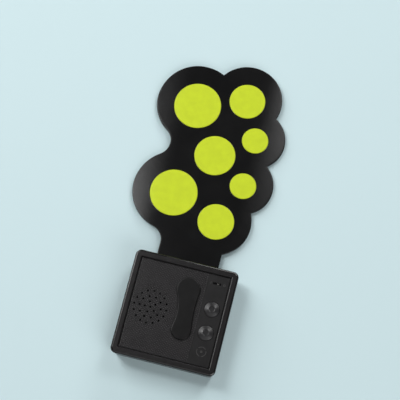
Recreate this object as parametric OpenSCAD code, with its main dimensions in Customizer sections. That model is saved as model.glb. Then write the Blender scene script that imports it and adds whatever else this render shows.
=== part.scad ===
// Electronic drum pad: a flexible sheet with seven touch pads on a square speaker case.
// Frame: origin at the centre of the case's back face, +Y towards the pads, +Z out of the front.

/* [Case] */
// Width of the case at its rim
case_w = 67.2; // [66.8:0.1:69]
// Length of the case at its rim, along the sheet's direction
case_l = 68.2; // [67:0.1:70]
// Height of the case from its back face to its rim
case_h = 18; // [18:0.1:20]
// How far each side wall leans in from the rim to the back face
taper = 1.7; // [0.5:0.1:1.8]
// Radius of the case's upright corners at the rim
corner_r = 3.8; // [3.4:0.1:4.4]
// Thickness of the side walls at the rim
wall = 2.2; // [2:0.1:2.3]
// Width of the raised rim round the front panel
rim_w = 4.3; // [3.6:0.1:4.6]
// Depth of the front panel below the rim
panel_drop = 0.8; // [0.4:0.1:1]
// Thickness of the front panel
panel_t = 1.8; // [1.6:0.1:2]
// Width and depth of the groove between panel and rim
groove = 0.65; // [0.5:0.05:1]
// Size of the bevel round the case's front and back edges
bevel = 1; // [0.4:0.1:1.4]

/* [Speaker grille] */
// Radius of one sound hole
hole_r = 0.55; // [0.4:0.05:0.7]
// Radius of the outer ring of sound holes
grille_r = 10.4; // [9:0.1:11]
// Radius of the speaker
speaker_r = 13.5; // [12:0.1:13.5]

/* [Controls] */
// Radius of a push button
button_r = 4.8; // [4:0.1:4.9]
// Travel of a push button
button_travel = 0.8; // [0.5:0.1:0.8]
// Length of the slide switch's slot
slot_l = 5.1; // [4.9:0.1:5.4]
// Travel of the slide switch
switch_travel = 2; // [1.5:0.1:2]

/* [Drum sheet] */
// Radius of the two large drum pads
big_r = 15.6; // [14:0.1:16]
// Radius of the two middle drum pads
mid_r = 11.9; // [10:0.1:12.2]
// Radius of the two small drum pads
small_r = 8.7; // [7:0.1:9]
// Radius of the drum pad at the centre
centre_r = 13.5; // [12:0.1:14]
// Black sheet left round each drum pad
margin = 11.5; // [10.5:0.1:12.5]
// Width of the sheet's neck
neck_w = 40.6; // [37:0.1:41]
// Thickness of the soft backing sheet
backing_t = 1; // [0.8:0.1:1]
// Thickness of the printed circuit film
film_t = 0.25; // [0.2:0.05:0.3]
// Thickness of the spacer that holds the films apart
spacer_t = 0.5; // [0.45:0.05:0.6]
// Thickness of the black top sheet
overlay_t = 0.65; // [0.6:0.05:0.8]
// Margin sealed round the films' edge
film_inset = 1; // [0.6:0.1:1.5]
// Gap round each drum pad
pad_gap = 0.25; // [0.2:0.05:0.4]

/* [Hidden] */
$fn = 96;
eps = 0.01;
half = case_w / 2;
inner = half - wall;
inner_r = corner_r - 1.6;
panel_w = case_w - 2 * rim_w;
panel_l = case_l - 2 * rim_w;
lean = taper / (case_h - 2 * bevel);
panel_top = case_h - panel_drop;
panel_in = panel_top - panel_t;

// Drum sheet, from its underside up
sheet_z = 2;
film_z = sheet_z + backing_t;
spacer_z = film_z + film_t;
overlay_z = spacer_z + spacer_t;
sheet_top = overlay_z + overlay_t;
sheet_t = sheet_top - sheet_z;
part_z = sheet_top;
neck_x = -1.3;
outline_shift = [-0.4, 1.3, 0];
waist_r = 10.5;
neck_fillet_r = 10;
tail_y = 24.6;
flex_y0 = 33;
flex_y1 = 46;

// Each drum pad's centre and radius, from the far left to the near right
PADS = [
    [-21, 141.3, big_r],
    [10.5, 152.2, mid_r],
    [21.9, 126.6, small_r],
    [-1.5, 110.2, centre_r],
    [-21.5, 79.1, big_r],
    [21.4, 94.3, small_r],
    [10, 66.5, mid_r]
];
contact_t = 0.2;
contact_inset = 1;
spacer_hole = 0.6;

// Case fastenings
post_xy = 27.2;
post_r = 2.8;
screw_r = 0.9;
pilot_r = 0.95;
free_r = 1.15;
head_r = 1.8;
head_t = 1;
head_seat = 1.2;
lip_t = 0.9;
lip_h = 1.2;

// Speaker and its grille
speaker = [-16, -0.5];
seat_r = speaker_r + 0.3;
seat_t = 1.2;
seat_h = 3.9;
gasket_t = 0.5;
flange_z = panel_in - gasket_t;
basket_z = flange_z - 4.3;
magnet_r = 7;
magnet_h = 3.2;
grille_rings = [[1, 0, 0], [5, 3.5, 36], [10, 6.9, 0], [16, grille_r, 0]];

// Circuit board and what stands on it
board_z = 8.6;
board_t = 1.2;
board_top = board_z + board_t;
board_x0 = -0.5;
board_x1 = 30.4;
board_y0 = -23.8;
board_y1 = 27.8;
board_arm_x = -24;
board_arm_y = 15.2;
board_posts = [[28.2, -0.5], [3.4, 14], [3.4, -6]];
board_post_r = 2;
buttons = [[22, 7.2], [21.9, -8.2]];
flange_r = 5.6;
flange_t = 0.8;
cap_z = panel_in - 0.4 - flange_t;
dish_r = 2;
dish_depth = 0.35;
tact_w = 6;
tact_h = 2.6;
switch_xy = [21.2, 23.9];
knob_xy = [21.9, 23.9];
knob_w = 1.5;
knob_d = 1;
slot_w = 1.4;
switch_h = 3.5;
switch_l = 7;
switch_d = 3;

// Raised plate on the front panel: its two lobes, as centre and radius
plate_h = 0.9;
plate_far = [4.7, 16, 7.5];
plate_near = [6.4, -10, 6.4];
plate_waist_left = 30;
plate_waist_right = 90;

// Battery compartment
cell_r = 5.8;
cell_h = 5.4;
cell_pitch = 12.6;
cell_y = -19;
cell_z = 1.9;
door_x0 = -20;
door_x1 = 23;
door_d = 14.4;
door_t = 1.5;
door_gap = 0.25;
door_z = 0.2;
door_screw_x = 20.8;
bay_wall = 1.2;
bay_top = 8.2;

// Strap eyelet in the side wall
eyelet_x = -33.2;
eyelet_y = -20;
eyelet_z = 10.6;
eyelet_r = 1.6;
eyelet_ring = 1;
eyelet_l = 2.8;

black = [0.11, 0.105, 0.11];
soft_black = [0.07, 0.07, 0.075];
lime = [0.79, 0.86, 0.2];
steel = [0.72, 0.73, 0.75];
brass = [0.8, 0.65, 0.3];
carbon = [0.2, 0.2, 0.22];
clear_film = [0.75, 0.78, 0.72];
board_green = [0.1, 0.36, 0.2];

// ---- Shared shapes ----

// Square prism with round upright corners
module rounded_block(w, h, r) {
    linear_extrude(height = h) {
        square([w, w - 2 * r], center = true);
        square([w - 2 * r, w], center = true);
        for (x = [-1, 1], y = [-1, 1]) translate([x, y] * (w / 2 - r)) circle(r = r);
    }
}

// Rectangular block with round upright corners, narrower by cut all round at its top
module tapered_block(w, l, h, r, cut) {
    for (x = [-1, 1], y = [-1, 1])
        translate([x * (w / 2 - r), y * (l / 2 - r), 0]) cylinder(h = h, r1 = r, r2 = r - cut);
    rotate([90, 0, 0]) linear_extrude(height = l - 2 * r, center = true)
        polygon([[-w / 2, 0], [w / 2, 0], [w / 2 - cut, h], [cut - w / 2, h]]);
    rotate([90, 0, 90]) linear_extrude(height = w - 2 * r, center = true)
        polygon([[-l / 2, 0], [l / 2, 0], [l / 2 - cut, h], [cut - l / 2, h]]);
}

// The case's outer shape below height z, leaning in all the way down to height low
module case_body(low, z) {
    inset = lean * (case_h - bevel - z);
    translate([0, 0, z]) mirror([0, 0, 1])
        tapered_block(case_w - 2 * inset, case_l - 2 * inset, z - low, corner_r - inset, lean * (z - low));
}

// Centre of a circle of radius r that touches two circles from outside
function tangent_centre(a, b, r, side) =
    let (d = [b[0] - a[0], b[1] - a[1]], len = norm(d), ra = a[2] + r, rb = b[2] + r)
    let (along = (len * len + ra * ra - rb * rb) / (2 * len), off = side * sqrt(ra * ra - along * along))
    [a[0] + (along * d[0] - off * d[1]) / len, a[1] + (along * d[1] + off * d[0]) / len];

// Two discs joined by the hollow curve that touches both on one side.
// The curve cuts into the discs by a hair, so that they meet at a clean corner.
module hollow_bridge(a, b, r, side, h) {
    c = tangent_centre(a, b, r - eps, side);
    difference() {
        linear_extrude(height = h) polygon([[a[0], a[1]], c, [b[0], b[1]]]);
        translate([c[0], c[1], -1]) cylinder(h = h + 2, r = r);
    }
}

module at_corners() {
    for (x = [-1, 1], y = [-1, 1]) translate([x * post_xy, y * post_xy, 0]) children();
}

// Pan-head screw, pointing up, with its head's underside at z = 0
module screw(length) {
    difference() {
        translate([0, 0, -head_t]) cylinder(h = head_t, r = head_r);
        for (a = [0, 90]) rotate(a) translate([-1.1, -0.2, -head_t - eps]) cube([2.2, 0.4, 0.5]);
    }
    cylinder(h = length, r = screw_r);
}

function unit(v) = v / norm(v);
function heading(points, i) = unit(points[min(i + 1, len(points) - 1)] - points[max(i - 1, 0)]);

// Eight-sided wire through a list of points; across is a direction the route never runs along
module wire(points, r, across) {
    sides = 8;
    count = len(points);
    rings = [
        for (i = [0 : count - 1])
            let (u = unit(cross(across, heading(points, i))), v = cross(heading(points, i), u))
            for (k = [0 : sides - 1]) points[i] + r * (cos(360 * k / sides) * u + sin(360 * k / sides) * v)
    ];
    walls = [
        for (i = [0 : count - 2], k = [0 : sides - 1])
            let (n = (k + 1) % sides)
            [i * sides + k, (i + 1) * sides + k, (i + 1) * sides + n, i * sides + n]
    ];
    start = [for (k = [0 : sides - 1]) k];
    end = [for (k = [sides - 1 : -1 : 0]) (count - 1) * sides + k];
    polyhedron(points = rings, faces = concat(walls, [start], [end]));
}

// ---- Drum sheet ----

function lobe(i) = PADS[i] + outline_shift + [0, 0, margin];

// Slab of the sheet's outline: a disc round each drum pad, the hollow waist and the neck.
// inset pulls its edge in all round.
module sheet_slab(h, inset) {
    discs = [for (i = [0 : len(PADS) - 1]) lobe(i) - [0, 0, inset]];
    far_big = discs[0];
    near_big = discs[4];
    near_mid = discs[6];
    neck_left = neck_x - neck_w / 2 + inset;
    fillet_r = neck_fillet_r + inset;
    fillet_x = neck_left - fillet_r;
    reach = near_big[2] + fillet_r - eps;
    fillet_y = near_big[1] - sqrt(pow(reach, 2) - pow(near_big[0] - fillet_x, 2));
    for (d = discs) translate([d[0], d[1], 0]) cylinder(h = h, r = d[2]);
    hollow_bridge(far_big, near_big, waist_r + inset, -1, h);
    difference() {
        linear_extrude(height = h) polygon([
            [neck_left + 5, fillet_y], [fillet_x, fillet_y],
            [near_big[0], near_big[1]], [near_mid[0], near_mid[1]], [neck_left + 5, near_mid[1] - 10]
        ]);
        translate([fillet_x, fillet_y, -1]) cylinder(h = h + 2, r = fillet_r);
    }
    translate([neck_left, tail_y, 0]) cube([neck_w - 2 * inset, near_mid[1] - tail_y, h]);
}

// The sheet between two distances along the neck
module sheet_between(y0, y1, z, t, inset = 0) {
    intersection() {
        translate([0, 0, z]) sheet_slab(t, inset);
        translate([-case_w, y0, z - 1]) cube([2 * case_w, y1 - y0, t + 2]);
    }
}

module pad_layer(z, t, hole, inset) {
    difference() {
        sheet_between(flex_y1, 2 * PADS[1][1], z, t, inset);
        if (hole > 0) for (p = PADS) translate([p[0], p[1], z - 1]) cylinder(h = t + 2, r = p[2] + hole);
    }
}

module pad_overlay() {
    color(black) pad_layer(overlay_z, overlay_t, pad_gap, 0);
}

module pad_spacer() {
    color(clear_film) pad_layer(spacer_z, spacer_t, spacer_hole, film_inset);
}

module pad_circuit() {
    color(clear_film) pad_layer(film_z, film_t, 0, film_inset);
}

module pad_backing() {
    color(soft_black) pad_layer(sheet_z, backing_t, 0, 0);
}

module drum_pad(i) {
    color(lime) translate([PADS[i][0], PADS[i][1], overlay_z + contact_t])
        cylinder(h = overlay_t - contact_t, r = PADS[i][2]);
}

module pad_contact(i) {
    color(carbon) translate([PADS[i][0], PADS[i][1], overlay_z])
        cylinder(h = contact_t, r = PADS[i][2] - contact_inset);
}

module flex_neck() {
    color(black) sheet_between(flex_y0, flex_y1, sheet_z, sheet_t);
}

clamp_posts = [[neck_x - 14, 28.1], [neck_x + 14, 28.1]];
clamp_post_r = 1.8;
bar_t = 2;

module sheet_tail() {
    color(black) difference() {
        sheet_between(tail_y, flex_y0, sheet_z, sheet_t);
        for (p = clamp_posts)
            translate([p[0], p[1], sheet_z - 1]) cylinder(h = sheet_t + 2, r = clamp_post_r + 0.2);
    }
}

module neck_clamp_bar() {
    color(carbon) translate([neck_x, 0, sheet_top]) difference() {
        translate([-19.4, 25.6, 0]) cube([38.8, 5, bar_t]);
        for (p = clamp_posts) translate([p[0] - neck_x, p[1], -1]) cylinder(h = bar_t + 2, r = free_r);
    }
}

module clamp_screws() {
    color(steel) for (p = clamp_posts)
        translate([p[0], p[1], sheet_top + bar_t]) mirror([0, 0, 1]) screw(4.8);
}

// Flat tail that carries the sheet's circuits up to the board
tail_w = 15;
tail_y1 = 20.2;
tail_z0 = film_z;
tail_z1 = 7.2;
tail_rise = tail_z1 - tail_z0;
function tail_at(t) = [tail_y + (tail_y1 - tail_y) * t, tail_z0 + tail_rise * (1 - cos(180 * t)) / 2];

module membrane_tail() {
    steps = 12;
    lower = [for (i = [0 : steps]) tail_at(i / steps)];
    upper = [for (i = [steps : -1 : 0]) tail_at(i / steps) + [0, film_t]];
    color(clear_film) translate([neck_x + tail_w / 2, 0, 0]) rotate([90, 0, -90]) mirror([1, 0, 0])
        linear_extrude(height = tail_w) polygon(concat(lower, upper));
}

// ---- Case ----

// Raised plate: two lobes with a hollow waist on each side
module raised_plate(h) {
    for (lobe = [plate_far, plate_near]) translate([lobe[0], lobe[1], 0]) cylinder(h = h, r = lobe[2]);
    hollow_bridge(plate_near, plate_far, plate_waist_left, 1, h);
    hollow_bridge(plate_near, plate_far, plate_waist_right, -1, h);
}

module grille_holes(h) {
    for (ring = grille_rings, i = [0 : ring[0] - 1])
        rotate(ring[2] + 360 * i / ring[0]) translate([ring[1], 0, 0]) cylinder(h = h, r = hole_r);
}

// Raised marks beside the controls: a ring left open in three places, a dot, a bar and a small ring
module panel_marks() {
    h = 0.2;
    translate([22, -20.3, panel_top - h]) {
        difference() {
            cylinder(h = 2 * h, r = 3.2);
            translate([0, 0, -1]) cylinder(h = 2, r = 2.7);
            for (a = [30, 150, 270]) rotate(a) translate([2, -0.5, -1]) cube([2, 1, 2]);
        }
        cylinder(h = 2 * h, r = 0.8);
    }
    translate([17.1, 23.2, panel_top - h]) cube([0.4, 1.4, 2 * h]);
    translate([26, 23.9, panel_top - h]) difference() {
        cylinder(h = 2 * h, r = 0.8);
        translate([0, 0, -1]) cylinder(h = 2, r = 0.4);
    }
}

// Block as large as the front panel, less inset all round
module panel_block(inset, h) {
    translate([inset - panel_w / 2, inset - panel_l / 2, 0]) cube([panel_w - 2 * inset, panel_l - 2 * inset, h]);
}

module front_shell() {
    difference() {
        union() {
            case_body(part_z, case_h - bevel);
            translate([0, 0, case_h - bevel]) tapered_block(case_w, case_l, bevel, corner_r, bevel);
        }
        translate([0, 0, part_z - 1]) rounded_block(2 * inner, panel_in - part_z + 1, inner_r);
        translate([0, 0, panel_top]) panel_block(0, 5);
        translate([0, 0, panel_top - groove]) difference() {
            panel_block(0, 5);
            translate([0, 0, -1]) panel_block(groove, 7);
        }
    }
}

module front_cover() {
    color(black) difference() {
        union() {
            front_shell();
            translate([0, 0, panel_top - 0.3]) raised_plate(plate_h + 0.3);
            panel_marks();
            at_corners() translate([0, 0, sheet_z]) cylinder(h = panel_in - sheet_z + 0.3, r = post_r);
            for (p = board_posts)
                translate([p[0], p[1], board_top]) cylinder(h = panel_in - board_top + 0.3, r = board_post_r);
            at_speaker(panel_in - seat_h) cylinder(h = seat_h + 0.3, r = seat_r + seat_t);
        }
        at_speaker(panel_in - seat_h - 1) cylinder(h = seat_h + 1, r = seat_r);
        at_speaker(panel_in - 1) grille_holes(6);
        at_corners() translate([0, 0, 1]) cylinder(h = 10, r = pilot_r);
        for (p = board_posts) translate([p[0], p[1], board_top - 1]) cylinder(h = 4.6, r = pilot_r);
        for (b = buttons) translate([b[0], b[1], panel_in - 1]) cylinder(h = 6, r = button_r + 0.15);
        translate([switch_xy[0] - slot_l / 2, switch_xy[1] - slot_w / 2, panel_in - 1])
            cube([slot_l, slot_w, 6]);
        translate([-half - 1, eyelet_y, eyelet_z]) rotate([0, 90, 0])
            cylinder(h = wall + 2, r = eyelet_r + eyelet_ring);
    }
}

module bay_block(grow, z0, z1) {
    translate([door_x0 - grow, cell_y - door_d / 2 - grow, z0])
        cube([door_x1 - door_x0 + 2 * grow, door_d + 2 * grow, z1 - z0]);
}

module rear_case() {
    color(black) difference() {
        union() {
            difference() {
                union() {
                    case_body(bevel, part_z);
                    translate([0, 0, bevel]) mirror([0, 0, 1])
                        tapered_block(case_w - 2 * taper, case_l - 2 * taper, bevel, corner_r - taper, bevel);
                }
                translate([0, 0, sheet_z]) rounded_block(2 * inner, part_z, inner_r);
            }
            // Lip that locates the front cover
            translate([0, 0, sheet_z - 0.2]) difference() {
                union() {
                    rounded_block(2 * inner + 0.2, part_z - sheet_z + 0.2, inner_r);
                    rounded_block(2 * inner - 0.2, part_z - sheet_z + lip_h, inner_r);
                }
                translate([0, 0, -1]) rounded_block(2 * (inner - lip_t), 10, inner_r - 0.4);
                for (x = [-1, 1], y = [-1, 1]) translate([x, y] * post_xy)
                    translate([0, 0, -1]) cylinder(h = 10, r = post_r + 0.2);
            }
            bay_block(bay_wall, sheet_z - 0.2, bay_top);
            for (p = clamp_posts)
                translate([p[0], p[1], sheet_z - 0.2]) cylinder(h = sheet_t + 0.1, r = clamp_post_r);
        }
        // Way out for the sheet's neck
        translate([neck_x - neck_w / 2 - 0.1, inner - 3, sheet_z]) cube([neck_w + 0.2, 10, 10]);
        // Battery door's opening, the three cell wells and the door screw's post
        bay_block(door_gap, -1, cell_z);
        for (i = [-1 : 1]) translate([i * cell_pitch, cell_y, 1]) cylinder(h = bay_top, r = cell_r + 0.2);
        translate([door_screw_x, cell_y, 0]) cylinder(h = 7.4, r = free_r);
        at_corners() {
            translate([0, 0, -1]) cylinder(h = 5, r = free_r);
            translate([0, 0, -1]) cylinder(h = 1 + head_seat, r = head_r + 0.2);
        }
        for (p = clamp_posts) translate([p[0], p[1], 0.8]) cylinder(h = 6, r = pilot_r);
    }
}

module case_screws() {
    color(steel) at_corners() translate([0, 0, head_seat]) screw(9);
}

module strap_eyelet() {
    color(carbon) translate([eyelet_x, eyelet_y, eyelet_z]) rotate([0, 90, 0]) difference() {
        cylinder(h = eyelet_l, r = eyelet_r + eyelet_ring);
        translate([0, 0, -1]) cylinder(h = eyelet_l + 2, r = eyelet_r);
    }
}

// ---- Batteries ----

module battery_door() {
    grip_l = 8;
    color(black) difference() {
        translate([door_x0, cell_y - door_d / 2, door_z]) cube([door_x1 - door_x0, door_d, door_t]);
        translate([door_screw_x, cell_y, -1]) cylinder(h = 5, r = pilot_r);
        translate([door_screw_x, cell_y, -1]) cylinder(h = 1 + door_z + 0.8, r = head_r + 0.2);
        for (i = [0 : 3])
            translate([door_x0 + 2 + 1.6 * i, cell_y - grip_l / 2, -1]) cube([0.7, grip_l, 1.6]);
    }
}

module battery_door_screw() {
    color(steel) translate([door_screw_x, cell_y, door_z + 0.8]) scale(0.8) screw(7.5);
}

module door_contact() {
    color(brass) translate([-cell_pitch - 3, cell_y - 2, door_z + door_t]) cube([2 * cell_pitch + 6, 4, 0.2]);
}

module button_cells() {
    color(steel) for (i = [-1 : 1]) translate([i * cell_pitch, cell_y, cell_z + 0.02]) {
        cylinder(h = cell_h - 0.4, r = cell_r);
        translate([0, 0, cell_h - 0.4]) cylinder(h = 0.4, r = cell_r - 1.2);
    }
}

module cell_contacts() {
    color(brass) for (i = [-1 : 1]) translate([i * cell_pitch, cell_y, cell_z + 0.02 + cell_h]) {
        cylinder(h = 0.3, r = cell_r - 2);
        translate([-1.2, -1.2, 0.3]) cube([2.4, 2.4, board_z - cell_z - cell_h - 0.32 - 0.02]);
    }
}

// ---- Circuit board ----

module circuit_board() {
    color(board_green) translate([0, 0, board_z]) difference() {
        union() {
            translate([board_x0, board_y0, 0]) cube([board_x1 - board_x0, board_y1 - board_y0, board_t]);
            translate([board_arm_x, board_arm_y, 0])
                cube([board_x0 - board_arm_x + 1, board_y1 - board_arm_y, board_t]);
        }
        translate([post_xy - post_r - 0.2, post_xy - post_r - 0.2, -1]) cube([10, 10, board_t + 2]);
        for (p = board_posts) translate([p[0], p[1], -1]) cylinder(h = board_t + 2, r = free_r);
    }
}

module board_screws() {
    color(steel) for (p = board_posts) translate([p[0], p[1], board_z]) screw(4.4);
}

module sound_chip() {
    color(soft_black) translate([10.5, 2, board_z]) mirror([0, 0, 1]) intersection() {
        translate([0, 0, -3.6]) sphere(r = 5.4);
        translate([-6, -6, 0]) cube([12, 12, 3]);
    }
}

module board_parts() {
    color(carbon) {
        for (i = [0 : 4]) translate([9 + 2.6 * i, -16, board_top]) cube([1.6, 0.9, 0.6]);
        for (i = [0 : 2]) translate([-18 + 5 * i, 22, board_top]) cube([1.6, 0.9, 0.6]);
        translate([6, -18, board_top]) cylinder(h = 4.5, r = 2);
        translate([14, 16, board_top]) cube([3, 2.6, 1.1]);
    }
}

module tail_connector() {
    color(clear_film) translate([neck_x - 8.4, 17.4, tail_z1 - 0.8]) difference() {
        cube([16.8, 3.4, board_z - tail_z1 + 0.8]);
        translate([0.8, 2.8, 0.4]) cube([15.2, 3, film_t + 0.6]);
    }
}

module slide_switch_body() {
    color(steel) translate([switch_xy[0], switch_xy[1], board_top]) difference() {
        translate([-switch_l / 2, -switch_d / 2, 0]) cube([switch_l, switch_d, switch_h]);
        translate([knob_xy[0] - switch_xy[0] - switch_travel - knob_w / 2 - 0.15, -knob_d / 2 - 0.15, 1.4])
            cube([switch_travel + knob_w + 0.3, knob_d + 0.3, switch_h]);
    }
}

module slide_switch_knob() {
    z0 = board_top + 1.6;
    color(carbon) translate([knob_xy[0] - knob_w / 2, knob_xy[1] - knob_d / 2, z0])
        cube([knob_w, knob_d, panel_top - 0.1 - z0]);
}

module tact_switches() {
    color(carbon) for (b = buttons) translate([b[0], b[1], board_top]) {
        translate([-tact_w / 2, -tact_w / 2, 0]) cube([tact_w, tact_w, tact_h]);
        cylinder(h = tact_h + 0.2, r = 1.6);
    }
}

// Conical cap with a dish on top, a flange that keeps it in and a stem that works the switch
module button_cap() {
    top = panel_top + 1.1;
    stem_z = board_top + tact_h + 0.2 + 0.05 + button_travel;
    shoulder = panel_top + 0.1;
    color(carbon) difference() {
        union() {
            translate([0, 0, stem_z]) cylinder(h = cap_z - stem_z + eps, r = 1.5);
            translate([0, 0, cap_z]) cylinder(h = flange_t, r = flange_r);
            translate([0, 0, cap_z]) cylinder(h = shoulder - cap_z, r = button_r);
            translate([0, 0, shoulder]) cylinder(h = top - shoulder, r1 = button_r, r2 = dish_r + 0.15);
        }
        translate([0, 0, top - dish_depth]) cylinder(h = dish_depth + 1, r = dish_r);
    }
}

module button_far() {
    translate([buttons[0][0], buttons[0][1], 0]) button_cap();
}

module button_near() {
    translate([buttons[1][0], buttons[1][1], 0]) button_cap();
}

// ---- Speaker ----

module at_speaker(z) {
    translate([speaker[0], speaker[1], z]) children();
}

module speaker_frame() {
    h = flange_z - basket_z;
    color(steel) at_speaker(basket_z) {
        rotate_extrude() polygon([
            [3, 0], [speaker_r - 5.3, 0], [speaker_r - 2.2, h - 0.7], [speaker_r, h - 0.7],
            [speaker_r, h], [speaker_r - 2.8, h], [speaker_r - 5.7, 0.6], [3, 0.6]
        ]);
        translate([0, 0, h - 1.5]) rotate(75) translate([speaker_r - 2.6, -2.5, 0]) cube([2.2, 5, 0.8]);
    }
}

module speaker_magnet() {
    color(carbon) at_speaker(basket_z - magnet_h) cylinder(h = magnet_h, r = magnet_r);
}

module speaker_cone() {
    h = flange_z - basket_z;
    color(soft_black) at_speaker(basket_z + 0.9) rotate_extrude() polygon([
        [0, 0], [4, 0], [speaker_r - 3.4, h - 1.5], [speaker_r - 3.4, h - 1.1], [3.8, 0.5], [0, 1.1]
    ]);
}

module speaker_gasket() {
    color(soft_black) at_speaker(flange_z) difference() {
        cylinder(h = gasket_t, r = speaker_r);
        translate([0, 0, -1]) cylinder(h = 3, r = speaker_r - 2);
    }
}

// ---- Wires ----

wire_r = 0.45;

module speaker_wires() {
    route = [
        [-14, 11.2, 13.4], [-14, 11.2, 12], [-14, 11.8, 11], [-14, 13, 10.7], [-14, 15, 10.7],
        [-14, 17, 10.9], [-14, 17.9, 10.6], [-14, 18, 10.2], [-14, 18, board_top]
    ];
    color("red") wire(route, wire_r, [1, 0, 0]);
    color("black") wire([for (p = route) p + [2, 0, 0]], wire_r, [1, 0, 0]);
}

module battery_wire() {
    contact_top = board_z - 0.02;
    color("red") wire(
        [
            [-cell_pitch, -19.4, contact_top], [-cell_pitch, -19.4, 9.2], [-12, -19, 10], [-9, -18, 10.8],
            [-4, -16, 11], [0, -14.4, 11], [1.5, -14, 10.8], [1.8, -14, 10.3], [1.8, -14, board_top]
        ],
        wire_r, [0, 1, 0]
    );
}

front_cover();
rear_case();
case_screws();
strap_eyelet();
battery_door();
battery_door_screw();
door_contact();
button_cells();
cell_contacts();
circuit_board();
board_screws();
sound_chip();
board_parts();
tail_connector();
slide_switch_body();
slide_switch_knob();
tact_switches();
button_far();
button_near();
speaker_frame();
speaker_magnet();
speaker_cone();
speaker_gasket();
speaker_wires();
battery_wire();
sheet_tail();
membrane_tail();
neck_clamp_bar();
clamp_screws();
flex_neck();
pad_overlay();
pad_spacer();
pad_circuit();
pad_backing();
drum_pad(0);  // drum_pad_1
drum_pad(1);  // drum_pad_2
drum_pad(2);  // drum_pad_3
drum_pad(3);  // drum_pad_4
drum_pad(4);  // drum_pad_5
drum_pad(5);  // drum_pad_6
drum_pad(6);  // drum_pad_7
pad_contact(0);  // pad_contact_1
pad_contact(1);  // pad_contact_2
pad_contact(2);  // pad_contact_3
pad_contact(3);  // pad_contact_4
pad_contact(4);  // pad_contact_5
pad_contact(5);  // pad_contact_6
pad_contact(6);  // pad_contact_7
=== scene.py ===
"""Electronic drum pad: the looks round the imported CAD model. Lengths are in metres unless they say MM."""

import math

import bmesh
import bpy
import numpy as np
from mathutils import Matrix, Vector, geometry


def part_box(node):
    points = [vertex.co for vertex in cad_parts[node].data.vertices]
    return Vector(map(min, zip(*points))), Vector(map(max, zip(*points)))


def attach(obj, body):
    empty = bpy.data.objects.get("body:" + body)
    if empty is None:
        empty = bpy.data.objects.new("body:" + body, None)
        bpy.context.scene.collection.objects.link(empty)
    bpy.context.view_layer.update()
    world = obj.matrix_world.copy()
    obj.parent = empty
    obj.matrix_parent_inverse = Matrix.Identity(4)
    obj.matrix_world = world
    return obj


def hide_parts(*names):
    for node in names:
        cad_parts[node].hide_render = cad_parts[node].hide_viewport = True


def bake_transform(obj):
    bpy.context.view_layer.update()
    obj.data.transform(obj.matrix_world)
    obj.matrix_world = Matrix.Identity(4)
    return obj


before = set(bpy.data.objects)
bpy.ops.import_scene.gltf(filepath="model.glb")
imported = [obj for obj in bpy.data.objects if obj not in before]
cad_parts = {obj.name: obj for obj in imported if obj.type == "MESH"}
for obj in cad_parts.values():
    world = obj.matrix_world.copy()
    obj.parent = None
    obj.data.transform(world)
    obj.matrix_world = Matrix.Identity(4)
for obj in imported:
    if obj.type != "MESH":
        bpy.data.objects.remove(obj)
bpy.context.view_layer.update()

MM = 0.001

# ---------------------------------------------------------------- camera

CAMERA_TARGET = Vector((-3.85, 79.48, 0)) * MM
CAMERA_AZIMUTH = math.radians(14.1)
CAMERA_ELEVATION = math.radians(74)
CAMERA_DISTANCE = 851.5 * MM
CAMERA_LENS = 116.8
SENSOR_WIDTH = 36


def make_camera():
    data = bpy.data.cameras.new("camera")
    data.lens = CAMERA_LENS
    data.sensor_width = SENSOR_WIDTH
    camera = bpy.data.objects.new("camera", data)
    bpy.context.scene.collection.objects.link(camera)
    away = Vector((
        math.sin(CAMERA_AZIMUTH) * math.cos(CAMERA_ELEVATION),
        -math.cos(CAMERA_AZIMUTH) * math.cos(CAMERA_ELEVATION),
        math.sin(CAMERA_ELEVATION),
    ))
    camera.location = CAMERA_TARGET + away * CAMERA_DISTANCE
    camera.rotation_euler = (-away).to_track_quat("-Z", "Y").to_euler()
    bpy.context.scene.camera = camera


make_camera()

# ---------------------------------------------------------------- materials

# Nearly all of a noise texture's values lie between these two.
NOISE_LOW, NOISE_HIGH = 0.3, 0.7


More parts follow.
